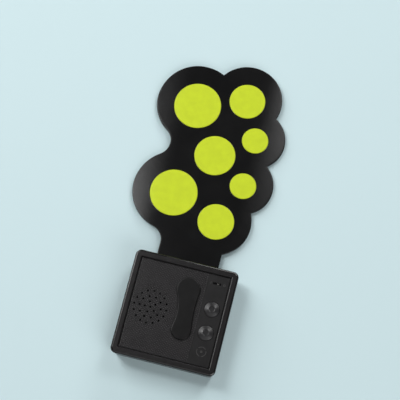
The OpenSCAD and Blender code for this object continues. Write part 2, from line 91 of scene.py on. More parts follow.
class Shader:
    """A principled material whose colour, roughness and bump vary over the object's own coordinates."""

    def __init__(self, name, roughness, metallic=0.0, **constants):
        self.material = bpy.data.materials.new(name)
        self.material.use_nodes = True
        self.tree = self.material.node_tree
        self.shader = self.tree.nodes["Principled BSDF"]
        self.shader.inputs["Roughness"].default_value = roughness
        self.shader.inputs["Metallic"].default_value = metallic
        for socket, value in constants.items():
            self.shader.inputs[socket.replace("_", " ")].default_value = value
        self.coordinates = self.tree.nodes.new("ShaderNodeTexCoord").outputs["Object"]
        self.bump = None

    def node(self, kind, **inputs):
        node = self.tree.nodes.new(kind)
        for socket, value in inputs.items():
            node.inputs[socket].default_value = value
        return node

    def noise(self, size, detail, stretch=None):
        """Noise whose features are about size metres across; stretch lengthens them along an axis."""
        node = self.node("ShaderNodeTexNoise", Scale=1 / size, Detail=detail)
        source = self.coordinates
        if stretch:
            mapping = self.node("ShaderNodeMapping", Scale=stretch)
            self.tree.links.new(source, mapping.inputs["Vector"])
            source = mapping.outputs["Vector"]
        self.tree.links.new(source, node.inputs["Vector"])
        return node.outputs["Fac"]

    def voronoi(self, size):
        node = self.node("ShaderNodeTexVoronoi", Scale=1 / size)
        self.tree.links.new(self.coordinates, node.inputs["Vector"])
        return node.outputs["Distance"]

    def colour(self, factor, *stops):
        """Base colour from a ramp of (position, colour) stops."""
        ramp = self.tree.nodes.new("ShaderNodeValToRGB")
        elements = ramp.color_ramp.elements
        while len(elements) < len(stops):
            elements.new(0.5)
        for element, (position, colour) in zip(elements, stops):
            element.position = position
            element.color = (*colour, 1)
        self.tree.links.new(factor, ramp.inputs["Fac"])
        self.tree.links.new(ramp.outputs["Color"], self.shader.inputs["Base Color"])

    def rough(self, factor, low, high):
        """Roughness from a noise factor, spread over low to high."""
        node = self.node("ShaderNodeMapRange")
        node.inputs["From Min"].default_value = NOISE_LOW
        node.inputs["From Max"].default_value = NOISE_HIGH
        node.inputs["To Min"].default_value = low
        node.inputs["To Max"].default_value = high
        self.tree.links.new(factor, node.inputs["Value"])
        self.tree.links.new(node.outputs["Result"], self.shader.inputs["Roughness"])

    def relief(self, height, depth):
        """Adds a bump of that depth in metres, on top of those before it."""
        bump = self.node("ShaderNodeBump", Strength=1.0, Distance=depth)
        self.tree.links.new(height, bump.inputs["Height"])
        if self.bump:
            self.tree.links.new(self.bump.outputs["Normal"], bump.inputs["Normal"])
        self.tree.links.new(bump.outputs["Normal"], self.shader.inputs["Normal"])
        self.bump = bump


def shades(colour, spread):
    """Two stops of one colour, a share darker and lighter."""
    return (0.35, [c * (1 - spread) for c in colour]), (0.65, [c * (1 + spread) for c in colour])


MOULD_DRIFT = 0.09
MOULD_GLOSS_DRIFT = 0.025


def moulded(name, colour, roughness, grain=0.35 * MM, depth=0.02 * MM, **constants):
    """Moulded plastic: slow colour drift, uneven gloss and a fine grain of that size and depth."""
    made = Shader(name, roughness, **constants)
    made.colour(made.noise(9 * MM, 4), *shades(colour, MOULD_DRIFT))
    made.rough(made.noise(5 * MM, 4), roughness - MOULD_GLOSS_DRIFT, roughness + MOULD_GLOSS_DRIFT)
    made.relief(made.noise(grain, 3), depth)
    return made.material


BRUSHED = (1, 1, 12)


def metal(name, colour, roughness):
    """Plated metal with faint brush lines."""
    made = Shader(name, roughness, metallic=1.0)
    made.colour(made.noise(2 * MM, 4), *shades(colour, 0.08))
    made.rough(made.noise(0.5 * MM, 4, BRUSHED), roughness - 0.08, roughness + 0.1)
    made.relief(made.noise(0.25 * MM, 2, BRUSHED), 0.004 * MM)
    return made.material


def vinyl_black():
    """Satin vinyl: a soft fine grain under a faint smear of handling."""
    made = Shader("vinyl_black", 0.25, Specular_IOR_Level=0.3)
    made.colour(made.noise(14 * MM, 3), *shades((0.0022, 0.0022, 0.0024), 0.18))
    made.rough(made.noise(11 * MM, 3), 0.235, 0.265)
    made.relief(made.noise(0.32 * MM, 2), 0.006 * MM)
    made.relief(made.noise(6 * MM, 2), 0.02 * MM)
    return made.material


def print_lime():
    """Printed lime vinyl: even ink with a fine grain."""
    made = Shader("print_lime", 0.5, Specular_IOR_Level=0.3)
    made.colour(made.noise(5 * MM, 5), *shades((0.57, 0.69, 0.014), 0.035))
    made.rough(made.noise(4 * MM, 4), 0.46, 0.56)
    made.relief(made.noise(0.3 * MM, 2), 0.004 * MM)
    return made.material


def board_green():
    """Green solder mask over a patchwork of copper."""
    made = Shader("board_green", 0.35)
    made.colour(made.voronoi(1.4 * MM), (0.2, (0.02, 0.1, 0.04)), (0.5, (0.03, 0.16, 0.06)))
    made.rough(made.noise(3 * MM, 4), 0.28, 0.42)
    made.relief(made.voronoi(1.4 * MM), 0.02 * MM)
    return made.material


def clear_film():
    """Pale polyester film, shown opaque."""
    made = Shader("clear_film", 0.25)
    made.colour(made.noise(4 * MM, 3), *shades((0.6, 0.62, 0.56), 0.05))
    made.rough(made.noise(2 * MM, 3), 0.18, 0.34)
    made.relief(made.noise(1 * MM, 2), 0.005 * MM)
    return made.material


BLACK = (0.008, 0.0073, 0.0078)
MATERIALS = {
    "cover": moulded("cover_black", BLACK, 0.3, depth=0.006 * MM, Specular_IOR_Level=0.42),
    "edge": moulded("edge_black", BLACK, 0.13, depth=0.002 * MM, Specular_IOR_Level=0.7),
    "panel": moulded("panel_black", (0.0094, 0.009, 0.0094), 0.36, depth=0.008 * MM, Specular_IOR_Level=0.35),
    # The grain's base colour is painted lighter than the panel's: painted light for the extra light its
    # textured face scatters.
    "grain": moulded("grain_black_painted_light", (0.0215, 0.018, 0.021), 0.38, depth=0.008 * MM, Specular_IOR_Level=0.4),
    # The plate's base colour is painted darker than the panel's: painted shade for its smooth face, which
    # scatters less light.
    "plate": moulded(
        "plate_black_painted_shade", (0.0034, 0.0033, 0.0034), 0.33,
        grain=0.2 * MM, depth=0.005 * MM, Specular_IOR_Level=0.32,
    ),
    "rear": moulded("rear_black", BLACK, 0.55, grain=0.5 * MM, depth=0.05 * MM),
    "inner": moulded("inner_black", (0.02, 0.02, 0.021), 0.5),
    "mark": moulded("mark_black", (0.034, 0.033, 0.033), 0.4, grain=0.2 * MM, depth=0.006 * MM),
    "button": moulded("button_black", (0.018, 0.0175, 0.0185), 0.3, grain=0.2 * MM, depth=0.006 * MM),
    "knob": moulded("knob_grey", (0.075, 0.073, 0.07), 0.4, grain=0.2 * MM, depth=0.006 * MM),
    "vinyl": vinyl_black(),
    "lime": print_lime(),
    "backing": moulded("backing_black", (0.014, 0.014, 0.015), 0.8, grain=0.6 * MM, depth=0.06 * MM),
    "film": clear_film(),
    "carbon": moulded("carbon_ink", (0.02, 0.02, 0.022), 0.7),
    "steel": metal("nickel_steel", (0.6, 0.6, 0.6), 0.3),
    "brass": metal("contact_brass", (0.75, 0.55, 0.25), 0.3),
    "board": board_green(),
    "epoxy": moulded("epoxy_black", (0.015, 0.015, 0.016), 0.25),
    "nylon": moulded("nylon_white", (0.7, 0.68, 0.6), 0.45),
    "ferrite": moulded("ferrite_grey", (0.06, 0.06, 0.065), 0.5),
    "cone": moulded("cone_black", (0.008, 0.008, 0.0085), 0.6),
    "foam": moulded("foam_black", (0.01, 0.01, 0.01), 0.9, grain=0.5 * MM, depth=0.1 * MM),
    "wire": moulded("wire_red", (0.4, 0.03, 0.02), 0.4),
}

# ---------------------------------------------------------------- mesh tools, in millimetres


SHARP_DEGREES = 35
WELD_DISTANCE = 0.001


def crease(tidy, sharp_degrees):
    """Smooth shading, but for the edges that turn by more than the angle."""
    for edge in tidy.edges:
        edge.smooth = len(edge.link_faces) == 2 and edge.calc_face_angle(0) < math.radians(sharp_degrees)
    for face in tidy.faces:
        face.smooth = True


def flat_shading_for_flats(piece):
    """Leaves the bend in the shading to the small round faces, so that the large flat ones look flat."""
    weighted = piece.modifiers.new("flat_faces", "WEIGHTED_NORMAL")
    weighted.keep_sharp = True
    weighted.weight = 100


def new_piece(name, verts, faces, material, sharp_degrees=SHARP_DEGREES):
    """An object from points in millimetres, with doubled points joined and faces turned outwards."""
    mesh = bpy.data.meshes.new(name)
    mesh.from_pydata([tuple(v) for v in verts], [], faces)
    mesh.materials.append(MATERIALS[material])
    tidy = bmesh.new()
    tidy.from_mesh(mesh)
    bmesh.ops.remove_doubles(tidy, verts=tidy.verts, dist=WELD_DISTANCE)
    bmesh.ops.recalc_face_normals(tidy, faces=tidy.faces)
    crease(tidy, sharp_degrees)
    bmesh.ops.scale(tidy, vec=(MM, MM, MM), verts=tidy.verts)
    tidy.to_mesh(mesh)
    tidy.free()
    piece = bpy.data.objects.new(name, mesh)
    bpy.context.scene.collection.objects.link(piece)
    return piece


def inside(points, loop):
    """For each 2D point: is it inside the closed loop?"""
    x, y = points[:, 0, None], points[:, 1, None]
    ends = np.roll(loop, -1, axis=0)
    rise = np.where(ends[:, 1] == loop[:, 1], 1e-12, ends[:, 1] - loop[:, 1])
    crosses = (loop[:, 1] > y) != (ends[:, 1] > y)
    left = x < (ends[:, 0] - loop[:, 0]) * (y - loop[:, 1]) / rise + loop[:, 0]
    return (crosses & left).sum(axis=1) % 2 == 1


def gap_to(points, loop):
    """For each 2D point: its distance to the nearest corner of the loop."""
    return np.sqrt(((points[:, None] - loop) ** 2).sum(axis=2)).min(axis=1)


def clear_of(points, outer, holes, gap):
    """The points inside outer and outside the holes that keep the gap from all of them."""
    kept = inside(points, outer) & (gap_to(points, outer) > gap)
    for hole in holes:
        kept &= ~inside(points, hole) & (gap_to(points, hole) > gap)
    return points[kept]


def staggered(x0, x1, y0, y1, across, along):
    """Grid points whose every second column is shifted by half a step."""
    return np.array([
        (x0 + i * across, y0 + (j + 0.5 * (i % 2)) * along)
        for i in range(int((x1 - x0) / across) + 1)
        for j in range(int((y1 - y0) / along) + 1)
    ])


def fill(outer, holes, step):
    """Triangles that fill the outer loop round the holes, with a grid of points step apart inside."""
    loops = [np.array([p[:2] for p in loop]) for loop in [outer, *holes]]
    points, edges = [], []
    for loop in loops:
        first, count = len(points), len(loop)
        points += [Vector(p) for p in loop]
        edges += [(first + i, first + (i + 1) % count) for i in range(count)]
    if step:
        (x0, y0), (x1, y1) = loops[0].min(axis=0), loops[0].max(axis=0)
        grid = staggered(x0, x1, y0, y1, step, step)
        points += [Vector(p) for p in clear_of(grid, loops[0], loops[1:], 0.6 * step)]
    found, _, faces, *_ = geometry.delaunay_2d_cdt(points, edges, [], 1, 1e-6)
    middles = np.array([sum((found[i] for i in face), Vector((0, 0))) / 3 for face in faces])
    kept = inside(middles, loops[0])
    for hole in loops[1:]:
        kept &= ~inside(middles, hole)
    return found, [list(face) for face, keep in zip(faces, kept) if keep]


class Solid:
    """Collects loops and filled faces into one closed mesh."""

    def __init__(self):
        self.verts, self.faces = [], []

    def walls(self, loops):
        """Strips between loops of the same number of 3D points."""
        count = len(loops[0])
        first = len(self.verts)
        for loop in loops:
            self.verts += loop
        for j in range(len(loops) - 1):
            for i in range(count):
                k = (i + 1) % count
                a, b = first + j * count, first + (j + 1) * count
                self.faces.append([a + i, a + k, b + k, b + i])

    def cap(self, outer, holes, z, step=None):
        """A flat face at height z with holes in it."""
        found, faces = fill(outer, holes, step)
        first = len(self.verts)
        self.verts += [(p.x, p.y, z) for p in found]
        self.faces += [[first + i for i in face] for face in faces]


def circle(centre, radius, count):
    """2D loop round a centre."""
    return [
        (centre[0] + radius * math.cos(a), centre[1] + radius * math.sin(a))
        for a in (2 * math.pi * i / count for i in range(count))
    ]


def at(loop, z):
    """A 2D loop lifted to height z."""
    return [(p[0], p[1], z) for p in loop]


CORNER_STEPS = 10


def rounded_block(half_x, half_y, radius):
    """Rectangular loop with round corners, always the same number of points."""
    loop = []
    for corner, (sx, sy) in enumerate(((1, 1), (-1, 1), (-1, -1), (1, -1))):
        for i in range(CORNER_STEPS + 1):
            a = math.radians(90 * (corner + i / CORNER_STEPS))
            loop.append((
                sx * (half_x - radius) + radius * math.cos(a),
                sy * (half_y - radius) + radius * math.sin(a),
            ))
    return loop


def cut_away(piece, cutter):
    """Takes the cutter's shape out of the piece, and removes the cutter."""
    boolean = piece.modifiers.new("cut", "BOOLEAN")
    boolean.object = cutter
    boolean.solver = "EXACT"
    bpy.context.view_layer.update()
    seen = piece.evaluated_get(bpy.context.evaluated_depsgraph_get())
    mesh = bpy.data.meshes.new_from_object(seen)
    tidy = bmesh.new()
    tidy.from_mesh(mesh)
    crease(tidy, SHARP_DEGREES)
    tidy.to_mesh(mesh)
    tidy.free()
    piece.modifiers.clear()
    piece.data = mesh
    bpy.data.objects.remove(cutter)


AXIS_RADIUS = 1e-5


def lathe(name, profile, centre, material, count):
    """A turned piece from (radius, z) points; a radius of 0 closes it on the axis."""
    solid = Solid()
    solid.walls([at(circle(centre, max(r, AXIS_RADIUS), count), z) for r, z in profile])
    return new_piece(name, solid.verts, solid.faces, material)


ROUND_STEPS = 5


def quarter_round(radius, z_flat):
    """(inset, z) points of a round edge, from the flat face out and down."""
    angles = [math.pi / 2 * i / ROUND_STEPS for i in range(ROUND_STEPS + 1)]
    return [(radius * (1 - math.sin(a)), z_flat - radius * (1 - math.cos(a))) for a in angles]


class Outline:
    """A closed outline of arcs (x, y, radius, bulge), anticlockwise; a bulge of -1 is a hollow arc.
    neck = (left, right, end) closes it with straight sides at those x, cut off at that y."""

    def __init__(self, arcs, middle, spacing, neck=None):
        self.arcs, self.middle, self.neck = arcs, middle, neck
        self.counts = [max(3, round(abs(turn) * arc[2] / spacing)) for arc, _, turn in self.spans(0)]
        self.side_counts = [max(1, round(math.dist(a, b) / spacing)) for a, b in self.sides(0)]

    def meeting(self, a, b):
        """Where two arcs touch, or their crossing furthest from the middle."""
        gap = math.dist(a[:2], b[:2])
        ux, uy = (b[0] - a[0]) / gap, (b[1] - a[1]) / gap
        if a[3] != b[3]:
            along, off = gap * a[2] / (a[2] + b[2]), 0
        else:
            along = (gap * gap + a[2] ** 2 - b[2] ** 2) / (2 * gap)
            off = math.sqrt(max(0, a[2] ** 2 - along**2))
        choices = [
            (a[0] + along * ux - side * off * uy, a[1] + along * uy + side * off * ux) for side in (1, -1)
        ]
        return max(choices, key=lambda p: math.dist(p, self.middle))

    def spans(self, inset):
        """(arc, start angle, turn) of each arc, with the outline moved in by inset."""
        arcs = [(x, y, r - bulge * inset, bulge) for x, y, r, bulge in self.arcs]
        ends = [self.meeting(a, b) for a, b in zip(arcs, arcs[1:] + arcs[:1])]
        starts = ends[-1:] + ends[:-1]
        if self.neck:
            x, y, r, _ = arcs[0]
            right = self.neck[1] - inset
            starts[0] = (right, y - math.sqrt(r * r - (right - x) ** 2))
            ends[-1] = (arcs[-1][0] + arcs[-1][2], arcs[-1][1])
        found = []
        for arc, start, end in zip(arcs, starts, ends):
            first, last = (math.atan2(p[1] - arc[1], p[0] - arc[0]) for p in (start, end))
            found.append((arc, first, arc[3] * ((arc[3] * (last - first)) % (2 * math.pi))))
        return found

    def sides(self, inset):
        """The straight sides, as (start, end), from the last arc round to the first."""
        if not self.neck:
            return []
        left, right, low = self.neck
        (x, y, r, _), *_ = self.spans(inset)[-1]
        (x0, y0, r0, _), first, _ = self.spans(inset)[0]
        corners = [
            (x + r, y), (left + inset, low + inset), (right - inset, low + inset),
            (x0 + r0 * math.cos(first), y0 + r0 * math.sin(first)),
        ]
        return list(zip(corners, corners[1:]))

    def loop(self, inset):
        """The outline's points, moved in by inset; every loop has the same number."""
        points = []
        for ((x, y, r, _), first, turn), count in zip(self.spans(inset), self.counts):
            points += [
                (x + r * math.cos(first + turn * i / count), y + r * math.sin(first + turn * i / count))
                for i in range(count)
            ]
        for (start, end), count in zip(self.sides(inset), self.side_counts):
            points += [tuple(p + (q - p) * i / count for p, q in zip(start, end)) for i in range(count)]
        return points


def tangent_centre(a, b, radius, side):
    """Centre of the circle of that radius that touches two circles (x, y, radius) from outside."""
    gap = math.dist(a[:2], b[:2])
    ra, rb = a[2] + radius, b[2] + radius
    along = (gap * gap + ra * ra - rb * rb) / (2 * gap)
    off = side * math.sqrt(ra * ra - along * along)
    ux, uy = (b[0] - a[0]) / gap, (b[1] - a[1]) / gap
    return a[0] + along * ux - off * uy, a[1] + along * uy + off * ux


def mm_box(node):
    """(low, high) corners of a CAD node, in millimetres."""
    low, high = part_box(node)
    return low / MM, high / MM


# ---------------------------------------------------------------- case front

HALF_X, HALF_Y, _ = mm_box("front_cover")[1]
RIM_Z = 18.0
PANEL_DROP = 0.8
PANEL_Z = RIM_Z - PANEL_DROP
PANEL_T = 1.8
CEILING_Z = PANEL_Z - PANEL_T
PART_Z = mm_box("sheet_tail")[1].z
CORNER_R = 3.8
WALL = 2.2
RIM_W = 4.3
GROOVE = 0.65
GROOVE_DEPTH = 0.65
PANEL_X = HALF_X - RIM_W - GROOVE
PANEL_Y = HALF_Y - RIM_W - GROOVE
CAD_BEVEL = 1.0
TAPER = 1.7
TAPER_TOP = RIM_Z - CAD_BEVEL
LEAN = TAPER / (TAPER_TOP - CAD_BEVEL)

SPEAKER = (-16.0, -0.5)
# Sound holes in each ring, the ring's radius and the first hole's angle
GRILLE_RINGS = [(1, 0, 0), (5, 3.5, 36), (10, 6.9, 0), (16, 10.4, 0)]
GRILLE_HOLE_R = 0.55
SWITCH_SLOT = (21.2, 23.9)
SLOT_SIZE = (5.1, 1.4)
STRIP_X = 15.0
PLATE_FAR = (4.7, 16, 7.5)
PLATE_NEAR = (6.4, -10, 6.4)
PLATE_LEFT_R, PLATE_RIGHT_R = 30, 90
PLATE_H = 0.9
PLATE_ROUND = 0.55
PLATE_SUNK = 0.3


def centre_of(node):
    """The middle of a CAD node's box, seen from above."""
    low, high = mm_box(node)
    return (low.x + high.x) / 2, (low.y + high.y) / 2


BUTTONS = {name: centre_of(name) for name in ("button_far", "button_near")}
BUTTON_HOLE_R = 4.95


def grille_centres():
    """The centre of each sound hole."""
    for count, radius, start in GRILLE_RINGS:
        for i in range(count):
            a = math.radians(start + 360 * i / count)
            yield SPEAKER[0] + radius * math.cos(a), SPEAKER[1] + radius * math.sin(a)


def plate_outline():
    """Two discs joined by a hollow curve on each side."""
    left = tangent_centre(PLATE_NEAR, PLATE_FAR, PLATE_LEFT_R, 1)
    right = tangent_centre(PLATE_NEAR, PLATE_FAR, PLATE_RIGHT_R, -1)
    arcs = [(*PLATE_NEAR, 1), (*right, PLATE_RIGHT_R, -1), (*PLATE_FAR, 1), (*left, PLATE_LEFT_R, -1)]
    return Outline(arcs, (5, 3), 0.5)


# The rim's soft edges, as (inset, depth below the rim): towards the panel, then towards the outside
RIM_INNER_EDGE = [
    (RIM_W, 0.45), (RIM_W - 0.07, 0.25), (RIM_W - 0.22, 0.12), (RIM_W - 0.45, 0.03), (RIM_W - 0.75, 0),
]
RIM_OUTER_EDGE = [(1.2, 0), (1.13, 0.01), (0.75, 0.16), (0.5, 0.32), (0.28, 0.53), (0.1, 0.8), (0.02, 1.05)]
RIM_EDGE_REACH = 2.2


def cover_profile():
    """(inset, z) from the panel's edge, over the rim, down the wall and up inside to the ceiling."""
    panel, groove_floor = RIM_W + GROOVE, PANEL_Z - GROOVE_DEPTH
    profile = [(panel + 0.15, PANEL_Z), (panel + 0.05, PANEL_Z - 0.05), (panel, PANEL_Z - 0.15)]
    profile += [(panel, groove_floor), (RIM_W, groove_floor)]
    profile += [(inset, RIM_Z - depth) for inset, depth in RIM_INNER_EDGE + RIM_OUTER_EDGE]
    seam = LEAN * (TAPER_TOP - PART_Z)
    profile += [(seam - 0.02, PART_Z + 0.25), (seam + 0.1, PART_Z + 0.06), (seam + 0.25, PART_Z)]
    profile += [(WALL, PART_Z), (WALL, CEILING_Z)]
    return profile


CORNER_POSTS = [(x, y) for x in (-27.2, 27.2) for y in (-27.2, 27.2)]
BOARD_POSTS = [(28.2, -0.5), (3.4, 14), (3.4, -6)]
BOARD_TOP = mm_box("circuit_board")[1].z
CORNER_POST_R, BOARD_POST_R, PILOT_R = 2.8, 2.0, 0.95
SEAT_OUTER_R, SEAT_INNER_R, SEAT_H = 15.0, 13.8, 3.9
POST_ROOT = CEILING_Z + 0.3


def tube(solid, centre, outer, inner, low, count):
    """A tube that hangs from inside the front panel down to height low."""
    rings = [(outer, POST_ROOT), (outer, low), (inner, low), (inner, POST_ROOT), (outer, POST_ROOT)]
    solid.walls([at(circle(centre, r, count), z) for r, z in rings])


def make_posts():
    """What stands under the front panel: screw posts and the speaker's seat."""
    solid = Solid()
    for centre in CORNER_POSTS:
        tube(solid, centre, CORNER_POST_R, PILOT_R, BACKING_LOW, 32)
    for centre in BOARD_POSTS:
        tube(solid, centre, BOARD_POST_R, PILOT_R, BOARD_TOP, 32)
    tube(solid, SPEAKER, SEAT_OUTER_R, SEAT_INNER_R, CEILING_Z - SEAT_H, 72)
    posts = new_piece("cover_posts", solid.verts, solid.faces, "inner")
    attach(posts, "case")


PANEL_MATERIAL, EDGE_MATERIAL = 1, 2
EYELET_SIDES = 40


def panel_hole(centre, radius, soft, count):
    """A round hole through the front panel, as (loop, z) from the top down; soft is its edge's depth."""
    rings = ((radius + 0.08, PANEL_Z), (radius, PANEL_Z - soft), (radius, CEILING_Z))
    return [(circle(centre, r, count), z) for r, z in rings]


def cut_eyelet_hole(cover):
    """The hole in the left side wall that the strap eyelet sits in."""
    low, high = mm_box("strap_eyelet")
    ring = circle(((low.y + high.y) / 2, (low.z + high.z) / 2), (high.y - low.y) / 2, EYELET_SIDES)
    hole = Solid()
    hole.walls([[(x, y, z) for y, z in ring] for x in (-HALF_X - 1, 3 - HALF_X)])
    hole.faces += [list(reversed(range(EYELET_SIDES))), list(range(EYELET_SIDES, 2 * EYELET_SIDES))]
    cut_away(cover, new_piece("eyelet_cutter", hole.verts, hole.faces, "inner"))


def cover_material(middle):
    """Which of the cover's materials a face has, from its middle."""
    if abs(middle.x) < PANEL_X and abs(middle.y) < PANEL_Y and abs(middle.z - PANEL_Z) < 0.01:
        return PANEL_MATERIAL
    near_outside = abs(middle.x) > HALF_X - RIM_EDGE_REACH or abs(middle.y) > HALF_Y - RIM_EDGE_REACH
    if near_outside and RIM_Z - 1 < middle.z < RIM_Z - 0.002:
        return EDGE_MATERIAL
    return 0


def make_cover():
    """The front cover: panel, grille, rim and side walls, with glossier outer edges on the rim."""
    solid = Solid()
    loops = [
        at(rounded_block(HALF_X - inset, HALF_Y - inset, max(CORNER_R - inset, 0.3)), z)
        for inset, z in cover_profile()
    ]
    solid.walls(loops)
    holes = [panel_hole(centre, GRILLE_HOLE_R, 0.12, 14) for centre in grille_centres()]
    holes += [panel_hole(centre, BUTTON_HOLE_R, 0.08, 56) for centre in BUTTONS.values()]
    slot = [
        (SWITCH_SLOT[0] + x * SLOT_SIZE[0] / 2, SWITCH_SLOT[1] + y * SLOT_SIZE[1] / 2)
        for x, y in ((1, -1), (1, 1), (-1, 1), (-1, -1))
    ]
    holes.append([(slot, PANEL_Z), (slot, CEILING_Z)])
    for hole in holes:
        solid.walls([at(loop, z) for loop, z in hole])
    solid.cap(loops[0], [hole[0][0] for hole in holes], PANEL_Z)
    solid.cap(loops[-1], [hole[-1][0] for hole in holes], CEILING_Z)
    cover = new_piece("cover_shell", solid.verts, solid.faces, "cover")
    cover.data.materials.append(MATERIALS["panel"])
    cover.data.materials.append(MATERIALS["edge"])
    cut_eyelet_hole(cover)
    for face in cover.data.polygons:
        face.material_index = cover_material(face.center / MM)
    flat_shading_for_flats(cover)
    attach(cover, "case")
    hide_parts("front_cover")


def make_plate():
    """The raised smooth plate, with a softly rounded edge."""
    outline, solid = plate_outline(), Solid()
    top, bottom = PANEL_Z + PLATE_H, PANEL_Z - PLATE_SUNK
    profile = quarter_round(PLATE_ROUND, top) + [(0, bottom)]
    loops = [at(outline.loop(inset), z) for inset, z in profile]
    solid.walls(loops)
    solid.cap(loops[0], [], top)
    solid.cap(loops[-1], [], bottom)
    plate = new_piece("raised_plate", solid.verts, solid.faces, "plate", sharp_degrees=60)
    flat_shading_for_flats(plate)
    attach(plate, "case")


GRAIN_ACROSS, GRAIN_ALONG = 1.143, 1.515
GRAIN_R, GRAIN_MIN_R, GRAIN_H = 0.4, 0.15, 0.16
GRAIN_SIDES = 8
GRAIN_MARGIN = 0.7
GRAIN_PLATE_GAP = 0.45


def make_panel_grain():
    """Staggered low domes that cover the panel left of the control strip, smaller near the sound holes."""
    edge_x, edge_y = PANEL_X - GRAIN_MARGIN, PANEL_Y - GRAIN_MARGIN
    spots = staggered(-edge_x, STRIP_X - 0.5, -edge_y, edge_y, GRAIN_ACROSS, GRAIN_ALONG)
    spots = spots[spots[:, 1] < edge_y]
    plate = np.array(plate_outline().loop(-GRAIN_PLATE_GAP))
    spots = spots[~inside(spots, plate)]
    room = gap_to(spots, np.array(list(grille_centres()))) - GRILLE_HOLE_R - 0.12
    kept = room > GRAIN_MIN_R
    solid = Solid()
    for spot, size in zip(spots[kept], np.minimum(room, GRAIN_R)[kept]):
        rings = [(size, -0.05), (size, 0.01), (size * 0.72, GRAIN_H * 0.75), (size * 0.3, GRAIN_H)]
        low_ring = len(solid.verts)
        top_ring = low_ring + (len(rings) - 1) * GRAIN_SIDES
        solid.walls([at(circle(spot, r, GRAIN_SIDES), PANEL_Z + z) for r, z in rings])
        solid.faces.append([low_ring + i for i in reversed(range(GRAIN_SIDES))])
        solid.faces.append([top_ring + i for i in range(GRAIN_SIDES)])
    grain = new_piece("panel_grain", solid.verts, solid.faces, "grain", sharp_degrees=80)
    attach(grain, "case")


MARK_LOW, MARK_TOP = PANEL_Z - 0.1, PANEL_Z + 0.2
HALF_GAP = 11


def add_ring(solid, centre, outer, inner, gaps, count):
    """A raised flat ring, or its arcs between evenly spaced gaps, given as middle angles in degrees."""
    starts = sorted(gap + HALF_GAP for gap in gaps) or [0]
    span = 360 / len(starts) - (2 * HALF_GAP if gaps else 0)
    steps = max(6, round(count * span / 360))
    for start in starts:
        angles = [math.radians(start + span * i / steps) for i in range(steps + 1)]
        rows = [
            [(centre[0] + r * math.cos(a), centre[1] + r * math.sin(a), z) for a in angles]
            for r, z in ((inner, MARK_LOW), (inner, MARK_TOP), (outer, MARK_TOP), (outer, MARK_LOW))
        ]
        first = len(solid.verts)
        for row in rows:
            solid.verts += row
        n = steps + 1
        for j in range(4):
            a, b = first + j * n, first + (j + 1) % 4 * n
            solid.faces += [[a + i, a + i + 1, b + i + 1, b + i] for i in range(steps)]
        if gaps:
            solid.faces += [[first + j * n for j in range(4)], [first + steps + j * n for j in (3, 2, 1, 0)]]


def make_marks():
    """Small raised marks: a broken ring and dot below the buttons, a bar and a ring beside the switch."""
    solid = Solid()
    target = (22, -20.3)
    bar = [(17.5, 23.2), (17.5, 24.6), (17.1, 24.6), (17.1, 23.2)]
    add_ring(solid, target, 3.2, 2.7, gaps=(30, 150, 270), count=48)
    add_ring(solid, (26, 23.9), 0.8, 0.4, gaps=(), count=24)
    for loop in (circle(target, 0.8, 20), bar):
        solid.walls([at(loop, MARK_LOW), at(loop, MARK_TOP)])
        solid.cap(loop, [], MARK_LOW)
        solid.cap(loop, [], MARK_TOP)
    marks = new_piece("panel_marks", solid.verts, solid.faces, "mark")
    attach(marks, "case")


def make_ridge():
    """The low ridge between the grain and the smooth control strip."""
    edge, solid = PANEL_Y - 0.5, Solid()
    profile = [(-0.3, -0.1), (0.3, -0.1), (0.3, 0), (0.12, 0.1), (-0.12, 0.1), (-0.3, 0)]
    solid.walls([[(STRIP_X + x, y, PANEL_Z + z) for x, z in profile] for y in (-edge, edge)])
    solid.faces.append(list(reversed(range(len(profile)))))
    solid.faces.append([len(profile) + i for i in range(len(profile))])
    ridge = new_piece("strip_ridge", solid.verts, solid.faces, "panel", sharp_degrees=15)
    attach(ridge, "case")


# ---------------------------------------------------------------- controls

BUTTON_R = 4.8
BUTTON_TOP = 18.3
CREST_R = 2.1
CONE_DROP, CONE_POWER, CONE_STEPS = 0.85, 1.15, 10
FLANGE_R, STEM_R = 5.6, 1.5


def button_profile(low):
    """(radius, z) of a conical cap with a flat dish on top, its flange and its stem."""
    dish = [(0, -0.35), (1.5, -0.35), (1.85, -0.34), (1.97, -0.28), (2.03, -0.06), (CREST_R, 0)]
    cone = []
    for t in (i / CONE_STEPS for i in range(CONE_STEPS + 1)):
        cone.append((CREST_R + 0.1 + (BUTTON_R - 0.2 - CREST_R) * t, -0.02 - CONE_DROP * t**CONE_POWER))
    cap = [(r, BUTTON_TOP + z) for r, z in dish + cone]
    side = [(BUTTON_R, cap[-1][1] - 0.15), (BUTTON_R, CEILING_Z - 0.4), (FLANGE_R, CEILING_Z - 0.45)]
    under = [(FLANGE_R, CEILING_Z - 1.2), (STEM_R, CEILING_Z - 1.2), (STEM_R, low), (0, low)]
    return cap + side + under


def make_buttons():
    """The two push buttons' caps."""
    for node, centre in BUTTONS.items():
        cap = lathe(node + "_cap", button_profile(mm_box(node)[0].z), centre, "button", 80)
        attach(cap, node)
        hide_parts(node)


def make_knob():
    """Switch knob: a block with soft edges and two grip notches across its tip."""
    low, high = mm_box("slide_switch_knob")
    cx, cy = centre_of("slide_switch_knob")
    hx, hy, soft = (high.x - low.x) / 2, (high.y - low.y) / 2, 0.15
    top, notch = high.z, high.z - 0.25
    solid = Solid()
    section = [
        (-hx, low.z), (hx, low.z), (hx, top - soft), (hx - soft, top),
        (0.45, top), (0.35, notch), (0.2, notch), (0.1, top),
        (-0.1, top), (-0.2, notch), (-0.35, notch), (-0.45, top),
        (soft - hx, top), (-hx, top - soft),
    ]
    rows = [[(cx + x, cy + y, z) for x, z in section] for y in (-hy, hy)]
    solid.walls(rows)
    solid.faces.append(list(reversed(range(len(section)))))
    solid.faces.append([len(section) + i for i in range(len(section))])
    knob = new_piece("switch_knob_tip", solid.verts, solid.faces, "knob", sharp_degrees=25)
    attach(knob, "switch_knob")
    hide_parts("slide_switch_knob")


# ---------------------------------------------------------------- drum sheet

